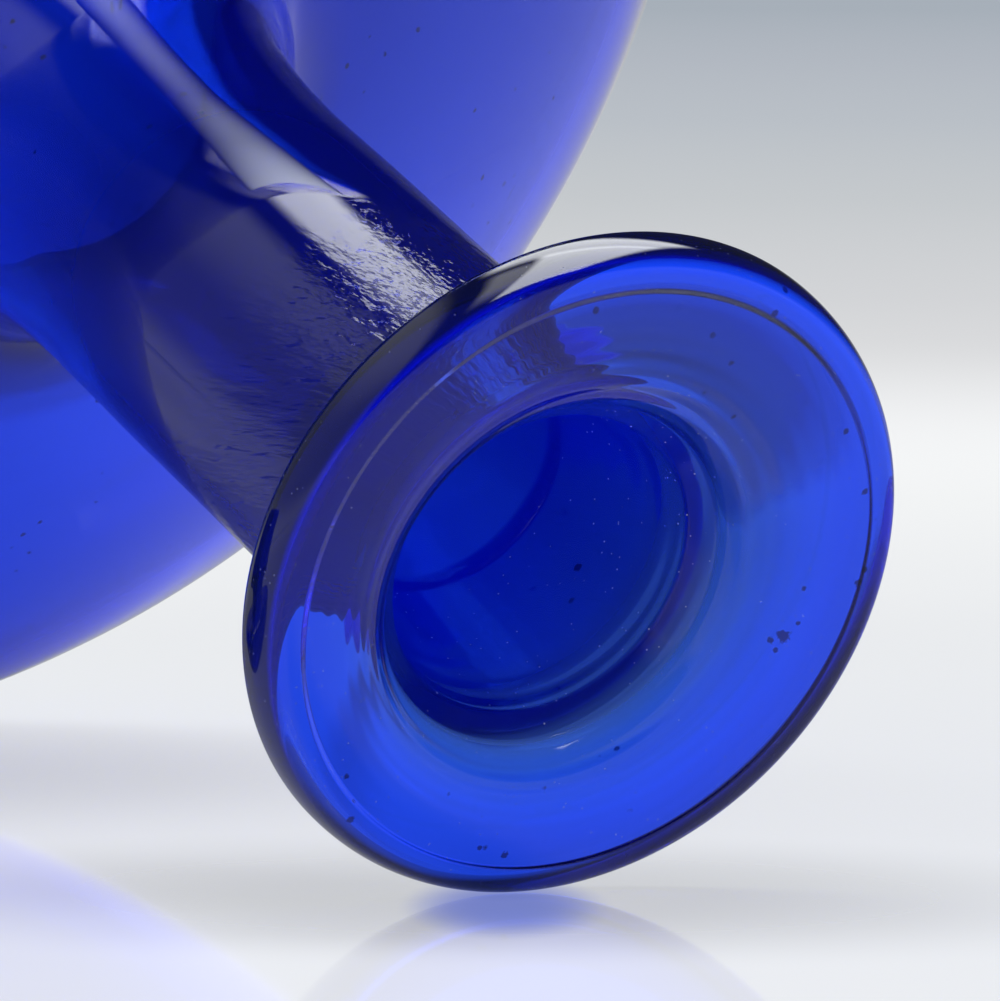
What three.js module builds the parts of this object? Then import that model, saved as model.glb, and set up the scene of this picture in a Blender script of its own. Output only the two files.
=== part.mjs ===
// Wide-bodied liquor decanter of blown cobalt glass with a thick disc lip, lying on its side with
// its mouth towards -Y, and its loose ground stopper standing on its head beside the neck.
// Millimetres, +Z up. The origin is on the table, under the middle of the whole.
import * as THREE from "three";

// Body: depths are measured down the axis from the face of the lip
const HEIGHT = 236;
const BODY_RADIUS = 100.5;
const BODY_DEPTH = 180.5;
const SHOULDER_RISE = 77.7;
const FOOT_RADIUS = 70;
const FOOT_WIDTH = 4;
const KICK_RISE = 10;

// Neck: a plain stretch, a slight waist, then a sweep into the shoulder
const NECK_RADIUS = 16.9;
const NECK_END = 56.7;
const NECK_PULL = 22;
const SHOULDER_PULL = 20;
const SWEEP_END = THREE.MathUtils.degToRad(19.5);
const SEAM_SHARE = 0.72;

// Walls
const NECK_WALL = 4.9;
const BODY_WALL = 3;
const BASE_WALL = 5;

// Mouth: a dished funnel down to the throat, a bevel, then the seat that is ground for the stopper
const MOUTH_RADIUS = 27.5;
const THROAT_RADIUS = 16.4;
const THROAT_DEPTH = 4.4;
const SEAT_RADIUS = 14.2;
const SEAT_DEPTH = 6.6;
const SEAT_LENGTH = 19;

// Lip, laid round the end of the neck a little off its centre
const LIP_RADIUS = 31;
const LIP_THICKNESS = 5.6;
const LIP_ROOT_DEPTH = 9.8;
const LIP_ROOT_WALL = 0.6;
const LIP_FILLET = 4.2;
const LIP_OFFSET = new THREE.Vector2(1.1, 1.4);

// Gap between pieces that are fused or touch on the real decanter
const GAP = 0.3;

// Stopper, from the table up: head, waist, plug
const HEAD_RADIUS = 25;
const HEAD_THICKNESS = 12;
const HEAD_ROUNDING = 4.5;
const WAIST_RADIUS = 9.5;
const WAIST_LENGTH = 9;
const WAIST_FLARE = 3.4;
const PLUG_PROUD = 2.5;
const PLUG_CHAMFER = 1.2;
const PLUG_CLEARANCE = 0.15;

// Where the stopper stands, from the point of the table under the middle of the lip
const STOPPER_PLACE = new THREE.Vector2(-72, 52);

// Flat sides round the axis, one of them underneath. Corners stand out so that the flats lie at
// the true radius.
const SIDES = 36;
const CORNER = 1 / Math.cos(Math.PI / SIDES);

const NECK_BORE = NECK_RADIUS - NECK_WALL;
const RIM = LIP_THICKNESS / 2;
const UP = Math.PI / 2;

// A profile point: radius, and height above the plane of the base
function at(depth, radius) {
  return new THREE.Vector2(radius, HEIGHT - depth);
}

// Points of an elliptical arc; the angle starts outwards from the axis and turns upwards
function arc(centre, semiRadius, semiHeight, from, to, steps) {
  return Array.from({ length: steps + 1 }, (_, i) => {
    const angle = THREE.MathUtils.lerp(from, to, i / steps);
    const step = new THREE.Vector2(semiRadius * Math.cos(angle), semiHeight * Math.sin(angle));
    return step.add(centre);
  });
}

// Sweep of the neck's outside into the shoulder, from the end of its plain stretch to the body
function sweep() {
  const [body] = arc(at(BODY_DEPTH, 0), BODY_RADIUS, SHOULDER_RISE, UP - SWEEP_END, UP, 1);
  const inwards = new THREE.Vector2(-BODY_RADIUS * Math.cos(SWEEP_END), SHOULDER_RISE * Math.sin(SWEEP_END));
  return new THREE.CubicBezierCurve(
    at(NECK_END, NECK_RADIUS),
    at(NECK_END + NECK_PULL, NECK_RADIUS),
    body.clone().addScaledVector(inwards.normalize(), SHOULDER_PULL),
    body,
  );
}

// Part of the sweep, from one share of its run to another
function sweepPoints(from, to, steps) {
  const curve = sweep();
  const shares = Array.from({ length: steps + 1 }, (_, i) => THREE.MathUtils.lerp(from, to, i / steps));
  return shares.map((share) => curve.getPoint(share));
}

// Points moved square to the outline, to the left of its run, by a wall that may change on the way
function inset(outline, from, to = from) {
  return outline.map((point, i) => {
    const wall = THREE.MathUtils.lerp(from, to, i / (outline.length - 1));
    const before = outline[Math.max(0, i - 1)];
    const after = outline[Math.min(outline.length - 1, i + 1)];
    const run = after.clone().sub(before).normalize();
    return new THREE.Vector2(point.x - run.y * wall, point.y + run.x * wall);
  });
}

// Turns a profile round the axis, with a flat side towards -Y
function turn(profile) {
  const corners = profile.map((point) => new THREE.Vector2(point.x * CORNER, point.y));
  return new THREE.LatheGeometry(corners, SIDES, Math.PI / SIDES).rotateX(UP);
}

// Body with its pushed-up base, open at the seam with the neck
function bowlGeometry() {
  const kick = arc(at(HEIGHT, 0), FOOT_RADIUS - FOOT_WIDTH, KICK_RISE, UP, 0, 4);
  const heel = at(BODY_DEPTH, FOOT_RADIUS);
  const lower = arc(heel, BODY_RADIUS - FOOT_RADIUS, HEIGHT - BODY_DEPTH, -UP, 0, 6);
  const upper = arc(at(BODY_DEPTH, 0), BODY_RADIUS, SHOULDER_RISE, 0, UP - SWEEP_END, 9).slice(1);
  const throat = sweepPoints(1, SEAM_SHARE, 3).slice(1);
  throat.at(-1).y -= GAP;
  const side = inset([...lower.slice(2), ...upper, ...throat], BODY_WALL);
  const floor = inset(kick.slice(0, -1), BASE_WALL);
  floor[0].x = 0;
  return turn([...kick, ...lower, ...upper, ...throat, ...side.reverse(), ...floor.reverse()]);
}

// Dished funnel of the mouth, from one radius to another
function funnel(from, to, steps) {
  const width = MOUTH_RADIUS - THROAT_RADIUS;
  const [first, last] = [from, to].map((radius) => Math.acos((radius - MOUTH_RADIUS) / width));
  return arc(at(THROAT_DEPTH, MOUTH_RADIUS), width, THROAT_DEPTH, first, last, steps);
}

// Neck with the throat and the ground seat in its mouth
function neckGeometry() {
  const outer = sweepPoints(SEAM_SHARE, 0, 6);
  const inner = inset(outer, BODY_WALL, NECK_WALL).reverse();
  const seat = [at(SEAT_DEPTH, SEAT_RADIUS), at(SEAT_DEPTH + SEAT_LENGTH, NECK_BORE)];
  return turn([...outer, ...funnel(NECK_RADIUS, THROAT_RADIUS, 2), ...seat, ...inner, outer[0]]);
}

// Disc of the lip round the end of the neck
function lipGeometry() {
  const bore = NECK_RADIUS + GAP;
  const fillet = at(LIP_ROOT_DEPTH, bore + LIP_ROOT_WALL + LIP_FILLET);
  const back = arc(fillet, LIP_FILLET, LIP_ROOT_DEPTH - LIP_THICKNESS, 2 * UP, UP, 4);
  const rim = arc(at(RIM, LIP_RADIUS - RIM), RIM, RIM, -UP, UP, 8);
  const inside = at(LIP_ROOT_DEPTH, bore);
  return shiftOut(turn([inside, ...back, ...rim, ...funnel(MOUTH_RADIUS, bore, 5), inside]), fillet.x);
}

// Slides the rim of the lip sideways; inside the stated radius nothing moves
function shiftOut(shape, still) {
  const place = shape.getAttribute("position");
  for (let i = 0; i < place.count; i += 1) {
    const radius = Math.hypot(place.getX(i), place.getY(i));
    const share = THREE.MathUtils.smoothstep(radius, still, LIP_RADIUS - RIM);
    place.setX(i, place.getX(i) + LIP_OFFSET.x * share);
    place.setY(i, place.getY(i) + LIP_OFFSET.y * share);
  }
  return shape;
}

// Stopper, standing on the flat top of its head. The plug matches the seat, less its clearance.
function stopperGeometry() {
  const taper = (SEAT_RADIUS - NECK_BORE) / SEAT_LENGTH;
  const shoulder = HEAD_THICKNESS + WAIST_LENGTH;
  const end = shoulder + PLUG_PROUD + SEAT_LENGTH;
  const wide = SEAT_RADIUS + PLUG_PROUD * taper - PLUG_CLEARANCE;
  const narrow = NECK_BORE - PLUG_CLEARANCE;
  const edge = (height, from) => {
    const centre = new THREE.Vector2(HEAD_RADIUS - HEAD_ROUNDING, height);
    return arc(centre, HEAD_ROUNDING, HEAD_ROUNDING, from, from + UP, 3);
  };
  const waist = arc(
    new THREE.Vector2(WAIST_RADIUS + WAIST_FLARE, HEAD_THICKNESS + WAIST_LENGTH / 2),
    WAIST_FLARE,
    WAIST_LENGTH / 2,
    3 * UP,
    UP,
    5,
  );
  const plug = [
    [wide - PLUG_CHAMFER, shoulder],
    [wide, shoulder + PLUG_CHAMFER],
    [narrow, end - PLUG_CHAMFER],
    [narrow - PLUG_CHAMFER, end],
    [0, end],
  ].map(([radius, height]) => new THREE.Vector2(radius, height));
  const head = [...edge(HEAD_ROUNDING, -UP), ...edge(HEAD_THICKNESS - HEAD_ROUNDING, 0)];
  return turn([new THREE.Vector2(0, 0), ...head, ...waist, ...plug]);
}

// How far the body's lowest point lies under the lip's, with the axis at a tilt
function sinkage(tilt) {
  const [sin, cos] = [Math.sin(tilt), Math.cos(tilt)];
  const body = BODY_DEPTH * sin - Math.hypot(SHOULDER_RISE * sin, BODY_RADIUS * cos);
  const lip = RIM * sin - (LIP_RADIUS - RIM - LIP_OFFSET.y) * cos - RIM;
  return lip - body;
}

// Tilt at which the lip and the body both touch the table
function restingTilt() {
  let [low, high] = [0, UP / 2];
  for (let i = 0; i < 50; i += 1) {
    const middle = (low + high) / 2;
    if (sinkage(middle) > 0) low = middle;
    else high = middle;
  }
  return low;
}

// A named piece in glass of its own colour
function piece(name, geometry, color, roughness) {
  const material = new THREE.MeshStandardMaterial({ color, roughness, metalness: 0 });
  const mesh = new THREE.Mesh(geometry, material);
  mesh.name = name;
  return mesh;
}

// The decanter tips forward over its lip; the middle of the lip is the turning point
const decanter = new THREE.Group();
decanter.add(
  piece("bowl", bowlGeometry(), 0x1f3bc8, 0.06),
  piece("neck", neckGeometry(), 0x2a4ad4, 0.1),
  piece("lip", lipGeometry(), 0x2447dc, 0.06),
);
decanter.children.forEach((mesh) => {
  mesh.position.z = -HEIGHT;
});
decanter.rotation.x = UP + restingTilt();

const stopper = piece("stopper", stopperGeometry(), 0x2443d0, 0.12);
const whole = new THREE.Group();
whole.add(decanter, stopper);

// Sets both on the table, and the origin under the middle of their box
decanter.updateMatrixWorld(true);
decanter.position.z = -new THREE.Box3().setFromObject(decanter, true).min.z;
stopper.position.set(STOPPER_PLACE.x, STOPPER_PLACE.y, 0);
whole.updateMatrixWorld(true);
const middle = new THREE.Box3().setFromObject(whole, true).getCenter(new THREE.Vector3());
whole.position.set(-middle.x, -middle.y, 0);
whole.updateMatrixWorld(true);

export default whole;
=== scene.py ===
"""Looks of a wide-bodied cobalt glass decanter lying on its side, with its loose ground stopper.

Metres, +Z up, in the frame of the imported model. The decanter's own measure is taken down its axis:
depth runs from the face of the lip towards the base, and radius stands square to it.
"""

import logging
from dataclasses import dataclass, field
from enum import Enum
from typing import Any

import bpy
import numpy as np
from mathutils import Matrix, Vector


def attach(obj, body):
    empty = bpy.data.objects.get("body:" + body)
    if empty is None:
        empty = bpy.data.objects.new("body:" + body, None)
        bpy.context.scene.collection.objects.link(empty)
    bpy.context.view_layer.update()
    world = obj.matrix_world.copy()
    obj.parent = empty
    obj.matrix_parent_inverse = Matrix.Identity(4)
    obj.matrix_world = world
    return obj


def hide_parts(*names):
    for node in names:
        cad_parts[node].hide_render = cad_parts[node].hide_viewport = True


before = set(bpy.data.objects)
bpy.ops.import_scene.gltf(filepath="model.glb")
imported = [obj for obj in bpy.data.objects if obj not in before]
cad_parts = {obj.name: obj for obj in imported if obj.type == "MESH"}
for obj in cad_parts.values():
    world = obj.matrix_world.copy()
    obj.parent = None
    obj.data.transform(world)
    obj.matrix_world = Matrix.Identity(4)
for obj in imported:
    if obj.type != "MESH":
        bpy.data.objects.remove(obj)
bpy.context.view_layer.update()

MM = 0.001
SAME_POINT = 1e-7
LIGHT_BOUNCES = 16
GLOSSY_BOUNCES = 8
LOG = logging.getLogger("decanter")

Array = np.ndarray
Pair = tuple[float, float]
Triple = tuple[float, float, float]
Corners = tuple[Pair, Pair, Pair, Pair]


class Mark(Enum):
    """Values that a piece carries point by point, kept as vertex attributes."""

    GROUND = "ground"
    # The next two carry painted shade: the dark of deep glass on the neck and in the bore, and near-black
    # round the rim.
    DEEP_SHADE = "deep_shade"
    RIM_SHADE = "rim"
    TOOLED = "tooled"
    DUSTY = "dusty"
    GLOW = "glow"


class Ray(Enum):
    """Kinds of ray that a material tells apart, as the Light Path node names them."""

    CAMERA = "Is Camera Ray"
    GLOSSY = "Is Glossy Ray"
    THROUGH = "Is Transmission Ray"


# Curves and surfaces
def line(start: Pair, end: Pair, steps: int) -> Array:
    """Points of a straight run in the depth-radius plane.

    Args:
        start: First depth and radius.
        end: Last depth and radius.
        steps: How many steps the run is cut into.

    Returns:
        An array of steps + 1 rows of depth and radius.
    """
    share = np.linspace(0.0, 1.0, steps + 1)[:, None]
    return (1 - share) * np.array(start) + share * np.array(end)


def ellipse(centre: Pair, semi: Pair, turn: Pair, steps: int) -> Array:
    """Points of an elliptical arc: depth = c0 + s0 cos a and radius = c1 + s1 sin a.

    Args:
        centre: Depth and radius of the middle, c.
        semi: Semi-axes along the depth and the radius, s.
        turn: First and last angle a, in degrees from the way of growing depth towards growing radius.
        steps: How many steps the arc is cut into.

    Returns:
        An array of steps + 1 rows of depth and radius.
    """
    angle = np.radians(np.linspace(turn[0], turn[1], steps + 1))
    return np.column_stack([centre[0] + semi[0] * np.cos(angle), centre[1] + semi[1] * np.sin(angle)])


def bezier(corners: Corners, steps: int) -> Array:
    """Points of a cubic curve: its four corners weighed by the Bernstein polynomials.

    Args:
        corners: The four corners, as depth and radius.
        steps: How many steps the curve is cut into.

    Returns:
        An array of steps + 1 rows of depth and radius.
    """
    t = np.linspace(0.0, 1.0, steps + 1)[:, None]
    a, b, c, d = (np.array(corner) for corner in corners)
    return (1 - t) ** 3 * a + 3 * t * (1 - t) ** 2 * b + 3 * t**2 * (1 - t) * c + t**3 * d


def chain(*runs: Array) -> Array:
    """Joins runs end to end and drops the points that two runs share.

    Args:
        *runs: The runs in order, each as rows of depth and radius.

    Returns:
        The joined rows.
    """
    joined = np.vstack(runs)
    step = np.linalg.norm(np.diff(joined, axis=0), axis=1)
    return joined[np.concatenate([[True], step > SAME_POINT])]


def offset(outline: Array, wall: Array) -> Array:
    """Moves each point of an outline square to its run, towards the axis, by its own wall.

    Args:
        outline: Rows of depth and radius, in the order of growing depth.
        wall: The distance that each point moves.

    Returns:
        The moved rows.
    """
    run = np.gradient(outline, axis=0)
    run /= np.linalg.norm(run, axis=1)[:, None]
    return outline + wall[:, None] * np.column_stack([run[:, 1], -run[:, 0]])


def grid_faces(rows: int, columns: int, closed: bool) -> Array:
    """Corners of the four-sided faces of a grid of points that are numbered row by row.

    Args:
        rows: How many rows there are.
        columns: How many points each has.
        closed: Whether the last column joins the first.

    Returns:
        Rows of four vertex numbers.
    """
    spans = columns if closed else columns - 1
    row, column = np.meshgrid(np.arange(rows - 1), np.arange(spans), indexing="ij")
    after = (column + 1) % columns
    here, beyond = row * columns, (row + 1) * columns
    return np.stack([here + column, beyond + column, beyond + after, here + after], axis=-1).reshape(-1, 4)


def add_object(name: str, data: Any) -> bpy.types.Object:
    """Makes an object and links it to the scene.

    Args:
        name: The object's name.
        data: Its mesh, lamp or camera.

    Returns:
        The object.
    """
    thing = bpy.data.objects.new(name, data)
    bpy.context.scene.collection.objects.link(thing)
    return thing


def add_mark(mesh: bpy.types.Mesh, mark: Mark, value: Array) -> None:
    """Puts one value of the mark on each vertex of the mesh."""
    layer = mesh.attributes.new(mark.value, "FLOAT", "POINT")
    layer.data.foreach_set("value", value.astype(np.float32).ravel())


@dataclass(frozen=True)
class Course:
    """A value that changes with depth, straight between its stations and level beyond them."""

    depths: tuple[float, ...]
    values: tuple[float, ...]

    def at(self, depth: Array) -> Array:
        """The value at each depth."""
        return np.interp(depth, self.depths, self.values)


@dataclass(frozen=True)
class Wave:
    """A wave that runs round the axis and drifts with depth, by one radian for each drift."""

    height: float
    count: int
    drift: float
    start: float

    def at(self, angle: Array, depth: Array) -> Array:
        """The wave: height * sin(count * angle + depth / drift + start).

        Args:
            angle: Angles round the axis.
            depth: Depth of each ring, as a column.

        Returns:
            A value for each ring and angle.
        """
        return self.height * np.sin(self.count * angle + depth / self.drift + self.start)


@dataclass(frozen=True)
class Spindle:
    """The line that a turned piece is turned about, and its place in the room."""

    start: Triple
    along: Triple
    side: Triple

    def place(self, depth: Array, across: Array, up: Array) -> Array:
        """Carries depth and the two offsets square to the axis into the room.

        The point is start + depth * along + across * side + up * (side x along).

        Args:
            depth: Distances along the axis.
            across: Distances towards the side.
            up: Distances square to both.

        Returns:
            An array with a last axis of three coordinates.
        """
        along, side = np.array(self.along), np.array(self.side)
        third = np.cross(side, along)
        parts = depth[..., None] * along + across[..., None] * side + up[..., None] * third
        return np.array(self.start) + parts


class Turned:
    """A closed surface turned about a spindle, with a pole at each end of its outline."""

    def __init__(self, name: str, spindle: Spindle, outline: Array, sides: int) -> None:
        """Keeps what the surface is made of.

        Args:
            name: Name of the piece.
            spindle: The axis and its place.
            outline: Rows of depth and radius; the first and the last lie on the axis.
            sides: How many points go round.
        """
        self.name, self.spindle, self.outline, self.sides = name, spindle, outline, sides
        self.angle = np.arange(sides) * 2 * np.pi / sides - np.pi / 2

    def grid(self, swell: Array | float = 0.0, shift: Array | None = None) -> Array:
        """Points of the rings between the poles: (r + swell)(cos a, sin a) + shift, at each depth.

        Args:
            swell: What is added to the radius, one value or one for each ring and angle.
            shift: Sideways shift of each ring, as rows of two.

        Returns:
            An array of rings by sides by three.
        """
        depth, radius = self.outline[1:-1, 0][:, None], self.outline[1:-1, 1][:, None]
        reach = radius + swell
        across = reach * np.cos(self.angle)
        up = reach * np.sin(self.angle)
        if shift is not None:
            across, up = across + shift[:, :1], up + shift[:, 1:]
        return self.spindle.place(np.broadcast_to(depth, across.shape), across, up)

    def faces(self) -> tuple[Array, Array]:
        """Corners of the four-sided faces between rings and of the two fans at the poles.

        Returns:
            The quads, as rows of four vertex numbers, and the triangles, as rows of three.
        """
        rings = len(self.outline) - 2
        first, last = rings * self.sides, rings * self.sides + 1
        here = np.arange(self.sides)
        there = (here + 1) % self.sides
        final = (rings - 1) * self.sides
        start = np.column_stack([np.full(self.sides, first), here, there])
        end = np.column_stack([np.full(self.sides, last), final + there, final + here])
        return grid_faces(rings, self.sides, closed=True), np.vstack([start, end])

    def make(self, points: Array, marks: dict[Mark, Array]) -> bpy.types.Object:
        """Builds the mesh object, smooth, with one value of each mark for each ring.

        Args:
            points: The grid of ring points.
            marks: A value of each mark for each point of the outline.

        Returns:
            The new object, linked to the scene.
        """
        ends = self.spindle.place(self.outline[[0, -1], 0], np.zeros(2), np.zeros(2))
        verts = np.vstack([points.reshape(-1, 3), ends])
        quads, fans = self.faces()
        mesh = bpy.data.meshes.new(self.name)
        mesh.vertices.add(len(verts))
        mesh.vertices.foreach_set("co", verts.astype(np.float32).ravel())
        loops = np.concatenate([quads.ravel(), fans.ravel()])
        mesh.loops.add(len(loops))
        mesh.loops.foreach_set("vertex_index", loops.astype(np.int32))
        starts = np.concatenate([np.arange(len(quads)) * 4, 4 * len(quads) + np.arange(len(fans)) * 3])
        mesh.polygons.add(len(starts))
        mesh.polygons.foreach_set("loop_start", starts.astype(np.int32))
        mesh.polygons.foreach_set("use_smooth", np.ones(len(starts), dtype=bool))
        mesh.update(calc_edges=True)
        for mark, value in marks.items():
            add_mark(mesh, mark, np.concatenate([np.repeat(value[1:-1], self.sides), value[[0, -1]]]))
        mesh.validate()
        return add_object(self.name, mesh)


# Shader maths
class Wire:
    """A shader socket that can be reckoned with; each operator adds its Math node."""

    def __init__(self, shop: "Shop", socket: bpy.types.NodeSocket | None) -> None:
        """Keeps the socket and the shop that made it."""
        self.shop, self.socket = shop, socket

    def _math(self, operation: str, *values: Any) -> "Wire":
        """Adds a Math node on its values."""
        return self.shop.node("ShaderNodeMath", {"operation": operation}, dict(enumerate(values)))

    def __add__(self, other: Any) -> "Wire":
        """Sum."""
        return self._math("ADD", self, other)

    __radd__ = __add__

    def __sub__(self, other: Any) -> "Wire":
        """Difference."""
        return self._math("SUBTRACT", self, other)

    def __rsub__(self, other: Any) -> "Wire":
        """Difference, the other way round."""
        return self._math("SUBTRACT", other, self)

    def __mul__(self, other: Any) -> "Wire":
        """Product."""
        return self._math("MULTIPLY", self, other)

    __rmul__ = __mul__

    def __truediv__(self, other: Any) -> "Wire":
        """Quotient."""
        return self._math("DIVIDE", self, other)

    def __pow__(self, other: Any) -> "Wire":
        """Power."""
        return self._math("POWER", self, other)

    def most(self, other: Any) -> "Wire":
        """The greater of the two."""
        return self._math("MAXIMUM", self, other)

    def band(self, none: float, full: float) -> "Wire":
        """A smooth step from 0 at one value to 1 at the other, either of which may be the greater.

        Args:
            none: Where the step is 0.
            full: Where the step is 1.

        Returns:
            The step's wire.
        """
        settings = {"interpolation_type": "SMOOTHSTEP"}
        if none < full:
            return self.shop.node("ShaderNodeMapRange", settings, {0: self, 1: none, 2: full, 3: 0.0, 4: 1.0})
        return self.shop.node("ShaderNodeMapRange", settings, {0: self, 1: full, 2: none, 3: 1.0, 4: 0.0})


class Shop:
    """Makes the nodes of one node tree."""

    def __init__(self, owner: Any) -> None:
        """Keeps the node tree, emptied.

        Args:
            owner: The material or world that it belongs to.
        """
        owner.use_nodes = True
        self.tree = owner.node_tree
        self.tree.nodes.clear()

    def node(self, kind: str, settings: dict[str, Any], values: dict[Any, Any], out: Any = 0) -> Wire:
        """Adds a node.

        Args:
            kind: The node's type.
            settings: Its own settings, set first; "stops" sets the stops of a ramp.
            values: Values or wires for its sockets, by number or name.
            out: Number or name of the socket that is handed on.

        Returns:
            The wire of that output.
        """
        made = self.tree.nodes.new(kind)
        for name, value in settings.items():
            if name == "stops":
                self._stops(made.color_ramp, value)
            else:
                setattr(made, name, value)
        for name, value in values.items():
            if isinstance(value, Wire):
                self.tree.links.new(value.socket, made.inputs[name])
            else:
                made.inputs[name].default_value = value
        return Wire(self, made.outputs[out] if made.outputs else None)

    @staticmethod
    def _stops(ramp: bpy.types.ColorRamp, stops: tuple[tuple[float, Triple], ...]) -> None:
        """Sets a ramp's stops.

        Args:
            ramp: The ramp.
            stops: Place and colour of each stop.
        """
        while len(ramp.elements) < len(stops):
            ramp.elements.new(0.5)
        for element, (place, colour) in zip(ramp.elements, stops):
            element.position = place
            element.color = (*colour, 1.0)

    def place(self) -> Wire:
        """The point on the surface, in the frame's metres."""
        return self.node("ShaderNodeTexCoord", {}, {}, "Object")

    def mark(self, mark: Mark) -> Wire:
        """The value of a mark that the mesh carries, 0 where it carries none."""
        return self.node("ShaderNodeAttribute", {"attribute_name": mark.value}, {}, "Fac")

    def ray(self, kind: Ray) -> Wire:
        """1 for rays of the kind, 0 for others."""
        return self.node("ShaderNodeLightPath", {}, {}, kind.value)

    def distance(self, place: Wire, point: Triple) -> Wire:
        """Distance of the place from a point."""
        return self.node("ShaderNodeVectorMath", {"operation": "DISTANCE"}, {0: place, 1: point}, "Value")

    def along(self, place: Wire, way: Triple) -> Wire:
        """How far the place lies along a way."""
        return self.node("ShaderNodeVectorMath", {"operation": "DOT_PRODUCT"}, {0: place, 1: way}, "Value")

    def noise(self, place: Wire, scale: float, detail: float) -> Wire:
        """Cloudy noise about a half."""
        return self.node("ShaderNodeTexNoise", {}, {"Vector": place, "Scale": scale, "Detail": detail})

    def cells(self, place: Wire, scale: float, out: str) -> Wire:
        """Scattered cells: the distance from the nearest one's middle, or its own random colour."""
        return self.node("ShaderNodeTexVoronoi", {}, {"Vector": place, "Scale": scale}, out)

    def mix(self, share: Wire, low: Triple, high: Triple) -> Wire:
        """Blends two colours."""
        values = {0: share, 6: (*low, 1.0), 7: (*high, 1.0)}
        return self.node("ShaderNodeMix", {"data_type": "RGBA"}, values, 2)

    def blend(self, share: Wire, low: Wire, high: Wire) -> Wire:
        """Blends two shaders."""
        return self.node("ShaderNodeMixShader", {}, {0: share, 1: low, 2: high})

    def glow(self, color: Triple, level: Wire | float = 1.0) -> Wire:
        """A shader that glows in one colour."""
        return self.node("ShaderNodeEmission", {}, {"Color": (*color, 1.0), "Strength": level})


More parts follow.
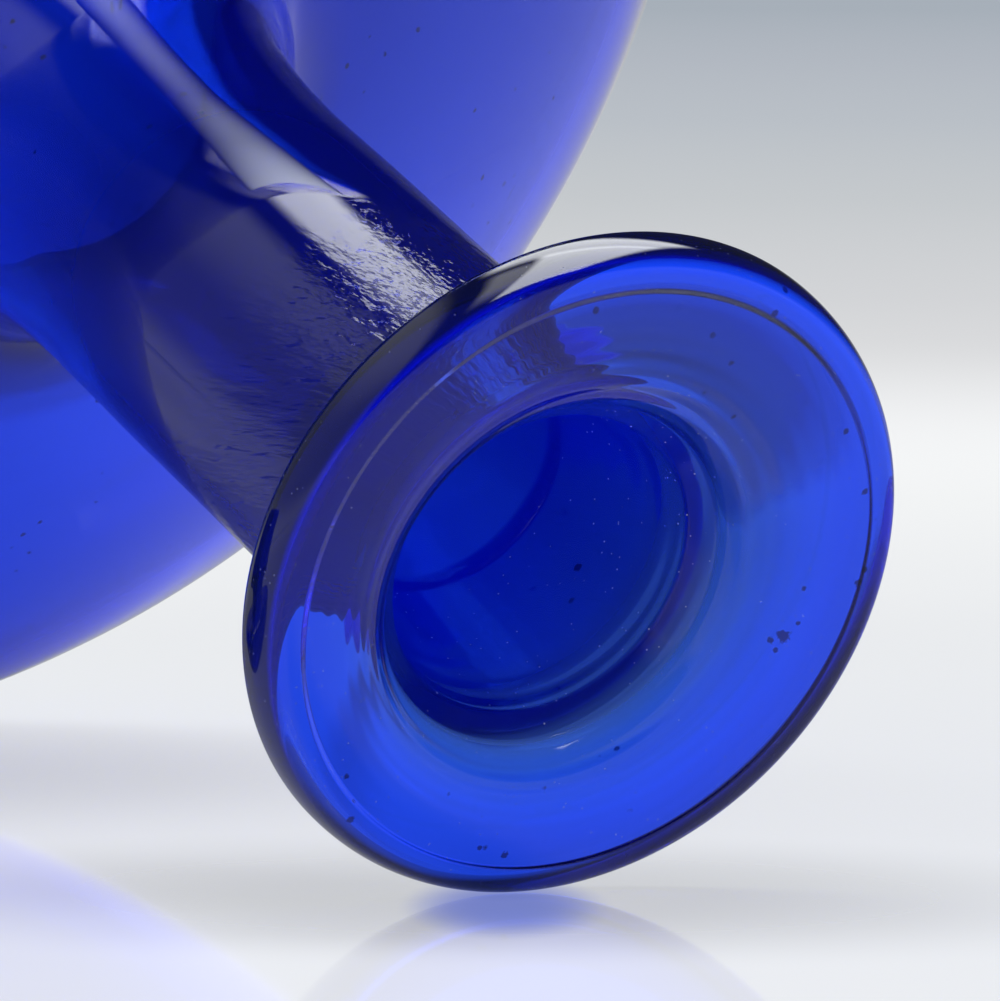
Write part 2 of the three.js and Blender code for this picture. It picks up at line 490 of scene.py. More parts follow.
# Finishes
@dataclass(frozen=True)
class CobaltGlass:
    """Blown cobalt glass, clear and coloured by its depth; the marks say where it is otherwise.

    It is ground on the stopper's seat, tooled on the neck, and dusty where dirt has stayed; painted shade
    makes it dark and nearly opaque on the neck, in the bore and round the rim. Scales count per metre and
    depths are in metres, but a stone is x, y, z and size in millimetres.
    """

    name: str = "cobalt_glass"
    density: float = 772.0
    tint: Triple = (0.0, 0.42, 0.962)
    bend: float = 1.5
    polish: float = 0.015
    ground: float = 0.07
    grain_scale: float = 5200.0
    grain_detail: float = 3.0
    grain_strength: float = 0.2
    grain_depth: float = 0.00005
    stroke_turn: Triple = (-0.404, 0.0, 0.0)
    stroke_scale: Triple = (1200.0, 150.0, 1200.0)
    stroke_detail: float = 2.0
    stroke_strength: float = 0.9
    stroke_depth: float = 0.0004
    # Painted shade: the dark, nearly opaque colour on the neck and in the bore, and the near-black round the
    # rim.
    deep_shade_color: Triple = (0.005, 0.012, 0.16)
    rim_shade_color: Triple = (0.004, 0.007, 0.02)
    haze_color: Triple = (0.02, 0.1, 0.8)
    haze_share: float = 0.35
    dust_color: Triple = (0.5, 0.55, 0.7)
    dust_scale: float = 1800.0
    dust_size: Pair = (0.17, 0.1)
    dust_choice: Pair = (0.72, 0.8)
    clear_color: Triple = (1.0, 1.0, 1.0)
    stone_color: Triple = (0.05, 0.055, 0.08)
    speck_scale: float = 260.0
    speck_size: Pair = (0.15, 0.11)
    patch_scale: float = 60.0
    patch_edge: Pair = (0.49, 0.53)
    torn_scale: float = 2500.0
    torn_speck: float = 0.1
    torn_stone: float = 1.6
    stone_core: float = 0.6
    stones: tuple[tuple[float, float, float, float], ...] = (
        (22.4, -114.7, 22.2, 0.75),
        (21.3, -114.3, 21.9, 0.4),
        (23.6, -115.2, 23.4, 0.3),
        (21.9, -114.2, 21.0, 0.3),
        (28.4, -117.2, 26.9, 0.45),
        (28.8, -117.7, 28.0, 0.35),
        (23.3, -116.5, 26.5, 0.3),
        (-1.1, -107.2, 3.6, 0.4),
        (-3.8, -107.5, 4.3, 0.3),
        (-17.4, -108.8, 7.3, 0.4),
        (12.5, -122.2, 41.8, 0.3),
        (11.4, -98.3, 27.6, 0.5),
    )

    def make(self) -> bpy.types.Material:
        """Builds the material.

        Returns:
            The glass: clear, or with a dark core of painted shade on the neck, in the bore and round the rim,
                and dust over both.
        """
        material = bpy.data.materials.new(self.name)
        shop = Shop(material)
        grain = self.grain(shop)
        looks = {
            "Base Color": self.specks(shop),
            "Roughness": self.polish + shop.mark(Mark.GROUND) * (self.ground - self.polish),
            "IOR": self.bend,
            "Transmission Weight": 1.0,
            "Normal": grain,
        }
        clear = shop.node("ShaderNodeBsdfPrincipled", {}, looks)
        # Painted shade: where the marks say, the clear glass gives way to a dark, nearly opaque core.
        painted_shade = shop.mark(Mark.DEEP_SHADE).most(shop.mark(Mark.RIM_SHADE))
        glass = shop.blend(painted_shade, clear, self.core(shop, grain))
        dust = shop.node("ShaderNodeBsdfDiffuse", {}, {"Color": (*self.dust_color, 1.0)})
        dusted = shop.blend(self.dust(shop), glass, dust)
        absorbed = {"Color": (*self.tint, 1.0), "Density": self.density}
        depth = shop.node("ShaderNodeVolumeAbsorption", {}, absorbed)
        shop.node("ShaderNodeOutputMaterial", {}, {"Surface": dusted, "Volume": depth})
        return material

    def grain(self, shop: Shop) -> Wire:
        """Fine grain of the ground glass.

        Args:
            shop: The material's nodes.

        Returns:
            The bumped normal.
        """
        height = shop.noise(shop.place(), self.grain_scale, self.grain_detail) * shop.mark(Mark.GROUND)
        values = {"Height": height, "Strength": self.grain_strength, "Distance": self.grain_depth}
        return shop.node("ShaderNodeBump", {}, values, "Normal")

    def core(self, shop: Shop, grain: Wire) -> Wire:
        """Painted shade of deep glass: nearly opaque and dark, near-black at the rim, with the strokes of the
        tool on it and a translucent blue haze within.

        Args:
            shop: The material's nodes.
            grain: The normal of the ground glass, which the strokes are laid over.

        Returns:
            The shader.
        """
        turned = {"Vector": shop.place(), "Rotation": self.stroke_turn, "Scale": self.stroke_scale}
        strokes = shop.noise(shop.node("ShaderNodeMapping", {}, turned), scale=1.0, detail=self.stroke_detail)
        ridges = {
            "Height": strokes * shop.mark(Mark.TOOLED),
            "Strength": self.stroke_strength,
            "Distance": self.stroke_depth,
            "Normal": grain,
        }
        rim = shop.mark(Mark.RIM_SHADE)
        values = {
            "Base Color": shop.mix(rim, self.deep_shade_color, self.rim_shade_color),
            "Roughness": self.polish,
            "IOR": self.bend,
            "Normal": shop.node("ShaderNodeBump", {}, ridges, "Normal"),
        }
        solid = shop.node("ShaderNodeBsdfPrincipled", {}, values)
        haze = shop.node("ShaderNodeBsdfTranslucent", {}, {"Color": (*self.haze_color, 1.0)})
        return shop.blend(self.haze_share * (1 - rim), solid, haze)

    def dust(self, shop: Shop) -> Wire:
        """Share of dust: small round grains in some of the cells, where the mark says dusty."""
        grains, chosen = (shop.cells(shop.place(), self.dust_scale, out) for out in ("Distance", "Color"))
        return grains.band(*self.dust_size) * chosen.band(*self.dust_choice) * shop.mark(Mark.DUSTY)

    def specks(self, shop: Shop) -> Wire:
        """Colour of the skin of the glass: clear, with dark specks scattered in patches, and the stones.

        Args:
            shop: The material's nodes.

        Returns:
            The colour.
        """
        place = shop.place()
        cells = shop.cells(place, self.speck_scale, "Distance")
        patches = shop.noise(place, self.patch_scale, detail=1.0).band(*self.patch_edge)
        torn = shop.noise(place, self.torn_scale, detail=2.0)
        dark = (cells + torn * self.torn_speck).band(*self.speck_size) * patches
        for x, y, z, size in self.stones:
            edge = MM * size
            gap = shop.distance(place, (MM * x, MM * y, MM * z)) + (torn - 0.5) * (edge * self.torn_stone)
            dark = dark.most(gap.band(edge, edge * self.stone_core))
        return shop.mix(dark, self.clear_color, self.stone_color)


# Pieces
@dataclass
class Vessel:
    """The decanter itself: body, neck and the disc of the lip, one run of glass.

    Sizes are in millimetres, and a corner is depth and radius. A painted shade runs from 0, clear, to 1,
    dark.
    """

    lean: float = 23.1577
    lip_point: Triple = (0.0, -117.006, 26.339)
    lip_thickness: float = 5.6
    rim_front: Corners = ((0.0, 28.2), (0.0, 29.72), (0.45, 30.2), (1.35, 30.56))
    rim_side: Corners = ((1.35, 30.56), (2.25, 30.92), (3.2, 31.0), (4.1, 31.0))
    rim_rear: Corners = ((4.1, 31.0), (4.9, 31.0), (5.6, 30.6), (5.6, 29.6))
    lip_shift: Pair = (1.1, 1.4)
    shift_radius: float = 23.5
    mouth_radius: float = 27.5
    throat_radius: float = 16.4
    throat_depth: float = 4.4
    dish_ripple: float = 0.09
    dish_ripple_length: float = 1.5
    dish_ripple_reach: float = 2.6
    seat_radius: float = 14.2
    seat_depth: float = 6.6
    seat_length: float = 19.0
    seat_ripple: float = 0.07
    seat_ripple_slowing: float = 0.8
    seat_ripple_reach: float = 3.5
    fillet: float = 4.2
    fillet_depth: float = 9.8
    neck_radius: float = 16.85
    neck_end: float = 56.7
    neck_pull: float = 22.0
    shoulder_pull: float = 20.0
    sweep_end: float = 19.5
    bore: float = 12.0
    body_radius: float = 100.5
    body_depth: float = 180.5
    shoulder_rise: float = 77.7
    height: float = 236.0
    foot_radius: float = 70.0
    foot_width: float = 4.0
    kick_rise: float = 10.0
    wall: Course = Course((56, 70, 90, 108, 125, 190, 215, 236), (4.85, 4.6, 4.0, 3.1, 2.6, 2.6, 3.2, 5.0))
    wall_start: float = 1.0
    wall_end: float = 9.0
    floor_wall: float = 5.5
    floor_dish: float = 1.5
    floor_radius: float = 30.0
    heel_pull: Pair = (5.0, -7.0)
    heel_bottom: Pair = (6.0, 50.0)
    body_shift: Pair = (0.9, 0.9)
    body_share: Course = Course((70, 130), (0, 1))
    waves: tuple[Wave, ...] = (Wave(0.5, 2, 31.0, 1.9), Wave(0.3, 3, -17.0, 3.8), Wave(0.2, 5, 9.0, -1.9))
    wave_height: Course = Course((8, 20, 60, 120, 190, 215), (0, 0.144, 0.192, 0.48, 0.48, 0))
    worn: Course = Course((5.4, 6.2, 7.2, 8.5, 24, 27), (0, 0.7, 0.7, 0.15, 0.15, 0))
    worn_radius: float = 17.0
    # Painted shade: dark round the rim, on the outside of the neck and in the bore of the mouth.
    rim_shade: Course = Course((0.25, 1.1, 5.0, 5.6), (0, 0.9, 0.9, 0))
    rim_slack: float = 0.01
    neck_shade: Course = Course((5.7, 9.8, 14, 60, 82, 112), (0, 0.4, 0.8, 0.8, 0.5, 0))
    bore_shade: Course = Course(
        (0.3, 0.7, 1.3, 2.4, 4.6, 7.5, 13, 50, 60),
        (0, 0.12, 0.35, 0.5, 0.75, 0.7, 0.3, 0.25, 0),
    )
    bore_shade_radius: float = 25.0
    tooled: Course = Course((6, 9, 26, 44), (0, 1, 0.8, 0))
    dust_from: float = 0.05
    seat_dust: float = 0.9
    lip_dust: float = 0.3
    sides: int = 236
    glass: CobaltGlass = field(default_factory=CobaltGlass)

    def spindle(self) -> Spindle:
        """Works out the decanter's axis.

        Returns:
            It runs back and upwards from the lip, tipped by the lean.
        """
        tip = np.radians(self.lean)
        start = tuple(MM * value for value in self.lip_point)
        return Spindle(start, (0.0, float(np.cos(tip)), float(np.sin(tip))), (1.0, 0.0, 0.0))

    def shoulder(self) -> Array:
        """Outside from the end of the plain neck to the widest ring.

        Returns:
            Rows of depth and radius: a cubic sweep into an ellipse.
        """
        end = np.radians(self.sweep_end)
        joint = (self.body_depth - self.shoulder_rise * np.cos(end), self.body_radius * np.sin(end))
        out = np.array([self.shoulder_rise * np.sin(end), self.body_radius * np.cos(end)])
        pull = np.array(joint) - self.shoulder_pull * out / np.linalg.norm(out)
        start = (self.neck_end, self.neck_radius)
        level = (self.neck_end + self.neck_pull, self.neck_radius)
        sweep = bezier((start, level, tuple(pull), joint), steps=36)
        semi = (self.shoulder_rise, self.body_radius)
        turn = (180 - self.sweep_end, 90)
        return chain(sweep, ellipse((self.body_depth, 0.0), semi, turn, steps=34))

    def heel(self) -> Array:
        """Outside from the widest ring to the foot: a quarter of an ellipse."""
        semi = (self.height - self.body_depth, self.body_radius - self.foot_radius)
        return ellipse((self.body_depth, self.foot_radius), semi, (90, 0), steps=20)

    def kick(self) -> Array:
        """Outside under the base, from the foot ring to the axis: a shallow dome."""
        semi = (-self.kick_rise, self.foot_radius - self.foot_width)
        return ellipse((self.height, 0.0), semi, (90, 0), steps=18)

    def lip(self) -> Array:
        """Outside of the lip, from the end of the mouth's funnel round the rim to the neck.

        Returns:
            Rows of depth and radius: face, rim, back and fillet.
        """
        face = line((0.0, self.mouth_radius), self.rim_front[0], steps=2)
        front, side = bezier(self.rim_front, steps=12), bezier(self.rim_side, steps=10)
        rim = chain(front, side, bezier(self.rim_rear, steps=12))
        foot = self.neck_radius + self.fillet
        back = line(self.rim_rear[-1], (self.lip_thickness, foot), steps=6)
        semi = (self.fillet_depth - self.lip_thickness, self.fillet)
        curve = ellipse((self.fillet_depth, foot), semi, (180, 270), steps=14)
        return chain(face, rim, back, curve)

    def mouth(self) -> Array:
        """Inside of the mouth, from the seat's end to the face: taper, bevel, dished funnel.

        Ripples die away down the taper from its wide end, as height * sin(pi * below ^ slowing) *
        exp(-below / reach), and across the dish from the throat, as height * sin(2 pi * past / length) *
        exp(-past / reach). Both rise from nothing over the first millimetre.

        Returns:
            Rows of depth and radius, going towards the face.
        """
        end = self.seat_depth + self.seat_length
        taper = line((end, self.bore), (self.seat_depth, self.seat_radius), steps=46)
        below = taper[:, 0] - self.seat_depth
        fading = np.exp(-below / self.seat_ripple_reach) * np.minimum(1, below)
        taper[:, 1] += self.seat_ripple * np.sin(np.pi * below**self.seat_ripple_slowing) * fading
        throat = (self.throat_depth, self.throat_radius)
        bevel = line((self.seat_depth, self.seat_radius), throat, steps=6)
        semi = (self.throat_depth, self.mouth_radius - self.throat_radius)
        dish = ellipse((self.throat_depth, self.mouth_radius), semi, (270, 180), steps=60)
        past = dish[:, 1] - self.throat_radius
        fading = np.exp(-past / self.dish_ripple_reach) * np.minimum(1, past)
        dish[:, 0] += self.dish_ripple * np.sin(2 * np.pi * past / self.dish_ripple_length) * fading
        return chain(taper, bevel, dish)

    def inside(self) -> Array:
        """Inner wall from the base's axis to the end of the seat.

        It is the outside moved in by the wall, then a cubic round the heel, and a floor whose depth is
        a parabola: crown + dish * (radius / floor radius) ^ 2.

        Returns:
            Rows of depth and radius, going towards the mouth.
        """
        outer = chain(self.shoulder(), self.heel())
        inner = offset(outer, self.wall.at(outer[:, 0]))
        after, before = self.neck_end + self.wall_start, self.height - self.wall_end
        inner = inner[(inner[:, 0] > after) & (inner[:, 0] < before)]
        crown = self.height - self.kick_rise - self.floor_wall
        edge = (crown + self.floor_dish, self.floor_radius)
        last = inner[-1]
        bottom = (self.height - self.heel_bottom[0], self.heel_bottom[1])
        bend = bezier((tuple(last), tuple(last + np.array(self.heel_pull)), bottom, edge), steps=14)
        floor = line(edge, (crown, 0.0), steps=8)
        floor[:, 0] = crown + self.floor_dish * (floor[:, 1] / self.floor_radius) ** 2
        run = chain(inner, bend, floor)[::-1]
        end = (self.seat_depth + self.seat_length, self.bore)
        return chain(run, line((self.neck_end, self.bore), end, steps=12))

    def outline(self) -> tuple[Array, dict[Mark, Array]]:
        """Whole outline, from the axis inside the base out through the mouth to the axis under it.

        Returns:
            Rows of depth and radius, and the marks of each row.
        """
        within = chain(self.inside(), self.mouth())
        plain = line((self.fillet_depth, self.neck_radius), (self.neck_end, self.neck_radius), steps=24)
        ring = (self.height, self.foot_radius - self.foot_width)
        foot = line((self.height, self.foot_radius), ring, steps=3)
        whole = chain(within, self.lip(), plain, self.shoulder(), self.heel(), foot, self.kick())
        inner = np.arange(len(whole)) < len(within)
        return whole, self.marks(whole, inner)

    def marks(self, rows: Array, inner: Array) -> dict[Mark, Array]:
        """Where the glass is ground, tooled and dusty, and where painted shade darkens it: on the neck, in
        the bore and at the rim.

        Args:
            rows: Rows of depth and radius.
            inner: Which rows are on the inside.

        Returns:
            A value of each mark for each row.
        """
        depth, radius = rows.T
        ground = self.worn.at(depth) * inner * (radius < self.worn_radius)
        on_rim = (radius > self.rim_front[0][1] - self.rim_slack) & (depth < self.fillet_depth) & ~inner
        bore = self.bore_shade.at(depth) * inner * (radius < self.bore_shade_radius)
        dusty = self.seat_dust * (ground > self.dust_from) + self.lip_dust * (depth < self.lip_thickness)
        return {
            Mark.GROUND: ground,
            Mark.DEEP_SHADE: self.neck_shade.at(depth) * ~inner + bore,
            Mark.RIM_SHADE: self.rim_shade.at(depth) * on_rim,
            Mark.TOOLED: self.tooled.at(depth) * ~inner,
            Mark.DUSTY: dusty,
        }

    def swell(self, angle: Array, rows: Array) -> Array:
        """Unevenness of blown glass: the sum of the waves, alike on both walls, none at lip and foot.

        Args:
            angle: Angles round the axis.
            rows: Depth and radius of each ring, in millimetres.

        Returns:
            What is added to the radius, in metres, for each ring and angle.
        """
        depth = rows[:, :1]
        return MM * self.wave_height.at(depth) * sum(wave.at(angle, depth) for wave in self.waves)

    def shift(self, rows: Array) -> Array:
        """Sideways shift of each ring, of the lip and of the body.

        The lip's share grows with radius, from 0 at the throat to 1 at the shift radius. The body's
        grows with depth, on both walls, but the foot ring and the dome under the base stay on the axis.

        Args:
            rows: Depth and radius of each ring, in millimetres.

        Returns:
            Rows of two, in metres.
        """
        depth, radius = rows.T
        share = np.clip((radius - self.throat_radius) / (self.shift_radius - self.throat_radius), 0, 1)
        lip = share * (depth < self.fillet_depth)
        body = self.body_share.at(depth) * (np.arange(len(rows)) < np.argmax(depth))
        return MM * (lip[:, None] * np.array(self.lip_shift) + body[:, None] * np.array(self.body_shift))

    def build(self) -> bpy.types.Object:
        """Builds and dresses the glass.

        Returns:
            The finished piece, riding on the decanter.
        """
        outline, marks = self.outline()
        outline[[0, -1], 1] = 0.0
        turned = Turned("vessel", self.spindle(), MM * outline, self.sides)
        rings = outline[1:-1]
        thing = turned.make(turned.grid(self.swell(turned.angle, rings), self.shift(rings)), marks)
        thing.data.materials.append(self.glass.make())
        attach(thing, "decanter")
        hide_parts("bowl", "neck", "lip")
        return thing


@dataclass
class Stopper:
    """The loose stopper, standing on the flat top of its head. Sizes in millimetres."""

    place: Pair = (-72.0, -65.006)
    head_radius: float = 25.0
    head_thickness: float = 12.0
    rounding: float = 4.5
    waist_radius: float = 9.5
    waist_length: float = 9.0
    flare: float = 3.4
    plug_wide: float = 14.34
    plug_narrow: float = 11.85
    plug_end: float = 42.5
    chamfer: float = 1.2
    ground_inset: float = 0.4
    sides: int = 160
    glass: CobaltGlass = field(default_factory=lambda: CobaltGlass(name="stopper_glass", stones=()))

    def outline(self) -> tuple[Array, Array]:
        """Outline from the table up to the end of the plug.

        Returns:
            Rows of height and radius, and the ground share of each row.
        """
        r, c = self.rounding, self.chamfer
        flat, waist = self.head_radius - r, self.waist_radius + self.flare
        head, shoulder = self.head_thickness, self.head_thickness + self.waist_length
        half = self.waist_length / 2
        whole = chain(
            line((0.0, 0.0), (0.0, flat), steps=10),
            ellipse((r, flat), (r, r), (180, 90), steps=12),
            ellipse((head - r, flat), (r, r), (90, 0), steps=12),
            line((head, flat), (head, waist), steps=3),
            ellipse((head + half, waist), (half, self.flare), (180, 360), steps=22),
            line((shoulder, waist), (shoulder, self.plug_wide - c), steps=2),
            ellipse((shoulder + c, self.plug_wide - c), (c, c), (180, 90), steps=6),
            line((shoulder + c, self.plug_wide), (self.plug_end - c, self.plug_narrow), steps=24),
            ellipse((self.plug_end - c, self.plug_narrow - c), (c, c), (90, 0), steps=6),
            line((self.plug_end, self.plug_narrow - c), (self.plug_end, 0.0), steps=8),
        )
        height, inset = whole[:, 0], self.ground_inset
        ground = (height > shoulder + inset) & (height < self.plug_end - inset)
        return whole, ground.astype(float)

    def build(self) -> bpy.types.Object:
        """Builds and dresses the stopper.

        Returns:
            The finished piece, riding on its own body.
        """
        outline, ground = self.outline()
        spindle = Spindle((MM * self.place[0], MM * self.place[1], 0.0), (0.0, 0.0, 1.0), (0.0, 1.0, 0.0))
        turned = Turned("stopper_glass", spindle, MM * outline, self.sides)
        thing = turned.make(turned.grid(), {Mark.GROUND: ground})
        thing.data.materials.append(self.glass.make())
        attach(thing, "stopper")
        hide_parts("stopper")
        return thing


# Room: the photograph looks along the level way ahead, with the other way to its left
LEFT: Triple = (-0.8592, 0.5087, 0.0)
AHEAD: Triple = (0.5087, 0.8592, 0.0)
DISTANCE_GREY: Triple = (0.385, 0.43, 0.485)


@dataclass(frozen=True)
class Dip:
    """A round soft shade on the table: how dark it is in its middle, and where it begins and ends."""

    middle: Triple
    dark: float
    edge: Pair


@dataclass
class Table:
    """A glossy white table that runs out into a grey distance. Sizes in metres."""

    middle: Triple = (0.0, -0.1, 0.0)
    inner_radius: float = 0.05
    radius: float = 14.0
    rings: int = 40
    sides: int = 96
    ramp_reach: float = 6.0
    colors: tuple[tuple[float, Triple], ...] = (
        (0.0, (0.93, 0.945, 0.99)),
        (0.07, (0.925, 0.93, 0.94)),
        (0.105, (0.83, 0.835, 0.83)),
        (0.155, (0.745, 0.75, 0.76)),
        (0.23, (0.65, 0.66, 0.68)),
        (0.345, (0.56, 0.585, 0.61)),
        (0.5, (0.49, 0.525, 0.57)),
        (0.7, (0.445, 0.48, 0.535)),
        (1.0, DISTANCE_GREY),
    )
    near_edge: Pair = (1.2, 0.3)
    near_glow: float = 1.3
    through_glow: float = 1.5
    mirrored_loss: float = 1.4
    lacquer: Triple = (0.80, 0.805, 0.82)
    lacquer_share: float = 0.5
    gloss_color: Triple = (1.0, 1.0, 1.0)
    polish: float = 0.04
    bend: float = 1.45
    mirror: float = 0.72
    lip_foot: Triple = (-0.001, -0.107, 0.0)
    lip_mirror: float = 0.3
    lip_mirror_edge: Pair = (0.07, 0.015)
    dips: tuple[Dip, ...] = (
        Dip((0.0, 0.045, 0.0), 0.7, (0.01, 0.085)),
        Dip((-0.001, -0.107, 0.0), 0.4, (0.0, 0.006)),
    )
    unseen_shade: float = 0.65
    spill_color: Triple = (0.07, 0.13, 0.6)
    spill_share: float = 0.7
    spill_middle: Triple = (-0.006, -0.1156, 0.0)
    spill_reach: Pair = (0.033, 0.0095)

    def build(self) -> None:
        """Builds the table: rings whose radius grows by the same factor each time, round a flat middle."""
        reach = np.geomspace(self.inner_radius, self.radius, self.rings)[:, None]
        angle = np.arange(self.sides) * 2 * np.pi / self.sides
        across = self.middle[0] + reach * np.cos(angle)
        back = self.middle[1] + reach * np.sin(angle)
        points = np.stack([across, back, np.zeros(across.shape)], axis=-1).reshape(-1, 3)
        mesh = bpy.data.meshes.new("table")
        faces = [*grid_faces(self.rings, self.sides, closed=True).tolist(), list(range(self.sides))]
        mesh.from_pydata(points.tolist(), [], faces)
        mesh.materials.append(self.finish())
        thing = add_object("table", mesh)

    def finish(self) -> bpy.types.Material:
        """White lacquer near the object, fading with distance to the grey of the room.

        The near part glows of itself, more for rays through glass and less for mirrored ones.

        Returns:
            The table's material.
        """
        material = bpy.data.materials.new("table_top")
        shop = Shop(material)
        reach = shop.distance(shop.place(), self.middle)
        far = shop.node("ShaderNodeValToRGB", {"stops": self.colors}, {0: reach / self.ramp_reach})
        near = reach.band(*self.near_edge)
        bonus = self.near_glow + self.through_glow * shop.ray(Ray.THROUGH)
        bonus = bonus - self.mirrored_loss * shop.ray(Ray.GLOSSY)
        lost = (1 - self.shade(shop)) * (1 - self.unseen_shade * shop.ray(Ray.CAMERA))
        level = (1 + near * bonus) * (1 - lost)
        glow = shop.node("ShaderNodeEmission", {}, {"Color": far, "Strength": level})
        lacquer = shop.node("ShaderNodeBsdfDiffuse", {}, {"Color": (*self.lacquer, 1.0)})
        body = shop.blend(1 - near * self.lacquer_share, lacquer, glow)
        polished = {"Color": (*self.gloss_color, 1.0), "Roughness": self.polish}
        gloss = shop.node("ShaderNodeBsdfGlossy", {}, polished)
        edge = shop.node("ShaderNodeFresnel", {}, {"IOR": self.bend})
        lip = shop.distance(shop.place(), self.lip_foot).band(*self.lip_mirror_edge)
        glossed = shop.blend(edge * near * (self.mirror + self.lip_mirror * lip), body, gloss)
        whole = shop.blend(self.spill_share * self.spill(shop), glossed, shop.glow(self.spill_color))
        shop.node("ShaderNodeOutputMaterial", {}, {"Surface": whole})
        return material

    def spill(self, shop: Shop) -> Wire:
        """Share of the blue light that falls through the lip onto the table before it.

        The spot is an ellipse: (along / length) ^ 2 + (across / width) ^ 2 falls off smoothly to 1.

        Args:
            shop: The material's nodes.

        Returns:
            1 in the middle of the spot, 0 outside it.
        """
        place, (length, width) = shop.place(), self.spill_reach
        along = (shop.along(place, AHEAD) - float(np.dot(self.spill_middle, AHEAD))) / length
        across = (shop.along(place, LEFT) - float(np.dot(self.spill_middle, LEFT))) / width
        return (along**2 + across**2).band(1.0, 0.0)

    def shade(self, shop: Shop) -> Wire:
        """Share of the table's own light that is left under the body and under the lip.

        Args:
            shop: The material's nodes.

        Returns:
            The product of one soft dip for each of the two.
        """
        left = 1.0
        for dip in self.dips:
            light = shop.distance(shop.place(), dip.middle).band(*dip.edge)
            left = (1 - dip.dark + dip.dark * light) * left
        return left


@dataclass(frozen=True)
class Patch:
    """A patch of light in the room, soft at its lower, upper and left edges.

    Rises are radians from the way ahead, up and over. Each edge is where the light is gone and where
    it is full.
    """

    level: float
    lower: Pair
    upper: Pair
    left: Pair

    def light(self, rise: Wire, left: Wire) -> Wire:
        """Its brightness: the level times a smooth step at each edge.

        Args:
            rise: How high the way points.
            left: How far it points to the left.

        Returns:
            The brightness.
        """
        return self.level * rise.band(*self.lower) * rise.band(*self.upper) * left.band(*self.left)


@dataclass
class Studio:
    """A wide soft lamp high behind the object, and a dim room with a pale horizon.

    Mirrored and refracted rays also meet three soft patches: the lamp's box, a ceiling and a window.
    """

    towards: Triple = (0.2891, 0.3491, 0.891)
    distance: float = 1.6
    angles: Pair = (50.0, 15.0)
    lamp_color: Triple = (0.88, 0.94, 1.0)
    target: Triple = (0.0, -0.08, 0.05)
    box: Patch = Patch(7.0, (0.86, 0.95), (1.24, 1.1), (0.3, 0.2))
    ceiling: Patch = Patch(2.4, (1.2, 1.35), (2.0, 1.6), (0.28, 0.2))
    window: Patch = Patch(9.0, (1.1, 1.2), (2.05, 1.95), (0.1, 0.03))
    right_edge: Pair = (-0.44, -0.36)
    panel_edge: Pair = (0.36, 0.5)
    panel_low: float = 0.27
    panel_high: float = 0.6
    panel_rise: Pair = (0.45, 0.82)
    dark: float = 0.03
    horizon: float = 0.42
    horizon_edge: Pair = (0.2, 0.0)
    room_color: Triple = (0.95, 0.98, 1.0)

    def lamp(self) -> None:
        """Hangs the lamp: its sides are 2 d tan(angle / 2), its watts are the box's level * pi * area."""
        wide, high = 2 * self.distance * np.tan(np.radians(self.angles) / 2)
        light = bpy.data.lights.new("softbox", "AREA")
        light.shape = "RECTANGLE"
        light.size, light.size_y = wide, high
        light.energy = self.box.level * np.pi * wide * high
        light.color = self.lamp_color
        thing = add_object("softbox", light)
        way = Vector(self.towards).normalized()
        turn = way.to_track_quat("Z", "Y")
        thing.matrix_world = Matrix.LocRotScale(Vector(self.target) + self.distance * way, turn, None)
        thing.visible_camera = thing.visible_glossy = thing.visible_transmission = False

    def room(self) -> None:
        """Lights the room: dark overhead and behind, pale at the horizon and on a panel to the left."""
        world = bpy.data.worlds.new("room")
        shop = Shop(world)
        way = shop.node("ShaderNodeTexCoord", {}, {}, "Generated")
        height = shop.node("ShaderNodeSeparateXYZ", {}, {0: way}, "Z")
        left, ahead = shop.along(way, LEFT), shop.along(way, AHEAD)
        rise = shop.node("ShaderNodeMath", {"operation": "ARCTAN2"}, {0: height, 1: ahead})
        over = self.ceiling.light(rise, left).most(self.window.light(rise, left))
        soft = (self.box.light(rise, left) + over) * left.band(*self.right_edge)
        bent = shop.ray(Ray.GLOSSY).most(shop.ray(Ray.THROUGH))
        bright = self.panel_low + self.panel_high * height.band(*self.panel_rise)
        panel = left.band(*self.panel_edge) * bright
        level = self.dark + self.horizon * height.band(*self.horizon_edge) + panel + bent * soft
        lit = shop.node("ShaderNodeBackground", {}, {"Color": (*self.room_color, 1.0), "Strength": level})
        seen = shop.node("ShaderNodeBackground", {}, {"Color": (*DISTANCE_GREY, 1.0), "Strength": 1.0})
        shop.node("ShaderNodeOutputWorld", {}, {"Surface": shop.blend(shop.ray(Ray.CAMERA), lit, seen)})
        bpy.context.scene.world = world


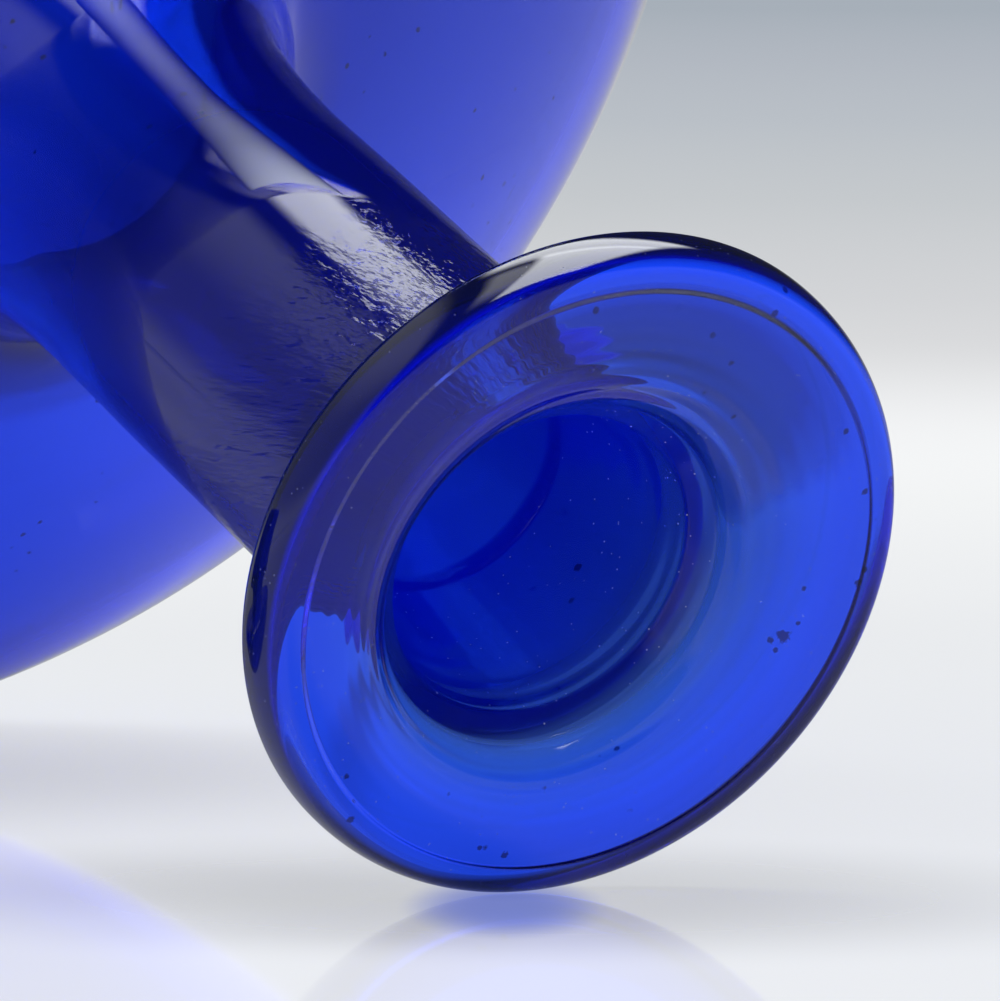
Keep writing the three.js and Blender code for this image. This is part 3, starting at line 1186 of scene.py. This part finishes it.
@dataclass
class Card:
    """A narrow bright card over the sweep of the neck, met only by reflections.

    Its two long edges run through stations in millimetres. Its light at each station is the glow in
    the middle, and the fade says how fast it falls off to both edges.
    """

    first: tuple[Triple, ...] = (
        (-10.1, -67.5, 74.0),
        (-9.3, -59.6, 77.2),
        (-7.2, -49.6, 81.9),
        (-8.8, -42.0, 87.9),
        (-12.9, -38.9, 91.3),
    )
    second: tuple[Triple, ...] = (
        (3.9, -72.7, 71.8),
        (2.1, -63.8, 76.0),
        (0.2, -52.2, 81.1),
        (0.3, -43.8, 86.9),
        (-2.0, -40.4, 91.2),
    )
    glow: tuple[float, ...] = (6.5, 2.8, 1.4, 2.2, 5.0)
    fade: tuple[float, ...] = (0.4, 1.0, 1.5, 1.6, 1.6)
    color: Triple = (0.86, 0.93, 1.0)
    steps: int = 40
    cross_steps: int = 12
    degree: int = 3

    def edge(self, stations: tuple[Triple, ...], share: Array) -> Array:
        """A long edge: each coordinate is the cubic of the share that lies nearest the stations.

        Args:
            stations: The points that the edge runs by, evenly apart in share.
            share: Shares of the edge's run, from 0 to 1.

        Returns:
            A point for each share, in millimetres.
        """
        known = np.linspace(0.0, 1.0, len(stations))
        fits = [np.polyfit(known, column, self.degree) for column in np.array(stations).T]
        return np.column_stack([np.polyval(fit, share) for fit in fits])

    def level(self, share: Array, cross: Array) -> Array:
        """Light of the card: glow * sin(pi * cross) ^ fade.

        Args:
            share: Shares of its length.
            cross: Shares of its width.

        Returns:
            A value for each share and cross.
        """
        known = np.linspace(0.0, 1.0, len(self.glow))
        glow, fade = (np.interp(share, known, values)[:, None] for values in (self.glow, self.fade))
        return glow * np.maximum(np.sin(np.pi * cross), 0.0) ** fade

    def build(self) -> None:
        """Builds the card: straight across from one edge to the other."""
        share, cross = np.linspace(0.0, 1.0, self.steps + 1), np.linspace(0.0, 1.0, self.cross_steps + 1)
        start, end = (self.edge(stations, share)[:, None] for stations in (self.first, self.second))
        points = MM * (start * (1 - cross[:, None]) + end * cross[:, None])
        faces = grid_faces(len(share), len(cross), closed=False)[:, [0, 3, 2, 1]]
        mesh = bpy.data.meshes.new("card")
        mesh.from_pydata(points.reshape(-1, 3).tolist(), [], faces.tolist())
        add_mark(mesh, Mark.GLOW, self.level(share, cross))
        mesh.materials.append(self.finish())
        thing = add_object("card", mesh)
        thing.visible_camera = thing.visible_diffuse = False
        thing.visible_transmission = thing.visible_shadow = False

    def finish(self) -> bpy.types.Material:
        """Makes the glowing finish, as bright as the mark says.

        Returns:
            The card's material.
        """
        material = bpy.data.materials.new("card")
        shop = Shop(material)
        shop.node("ShaderNodeOutputMaterial", {}, {"Surface": shop.glow(self.color, shop.mark(Mark.GLOW))})
        return material


@dataclass
class Viewpoint:
    """The camera: a long lens at table height. Place in metres, turn in degrees, lens in millimetres."""

    place: Triple = (-0.514078, -0.972492, 0.089407)
    turn: Triple = (86.858, -0.3295, -30.6101)
    lens: float = 421.1
    sensor: float = 36.0
    nearest: float = 0.05
    farthest: float = 60.0

    def build(self) -> None:
        """Sets the camera up."""
        data = bpy.data.cameras.new("camera")
        data.sensor_fit = "HORIZONTAL"
        data.sensor_width = self.sensor
        data.lens = self.lens
        data.clip_start, data.clip_end = self.nearest, self.farthest
        thing = add_object("camera", data)
        thing.location = self.place
        thing.rotation_mode = "XYZ"
        thing.rotation_euler = [float(np.radians(angle)) for angle in self.turn]
        bpy.context.scene.camera = thing


def main() -> None:
    """Builds the camera, the room and the pieces in order, and reports each."""
    logging.basicConfig(level=logging.INFO, format="%(name)s: %(message)s")
    scene = bpy.context.scene
    scene.view_settings.view_transform = "Standard"
    scene.cycles.max_bounces = LIGHT_BOUNCES
    scene.cycles.transmission_bounces = LIGHT_BOUNCES
    scene.cycles.glossy_bounces = GLOSSY_BOUNCES
    Viewpoint().build()
    studio = Studio()
    studio.lamp()
    studio.room()
    Table().build()
    Card().build()
    for piece in (Vessel(), Stopper()):
        thing = piece.build()
        LOG.info("%s: %d faces", thing.name, len(thing.data.polygons))


if __name__ == "__main__":
    main()
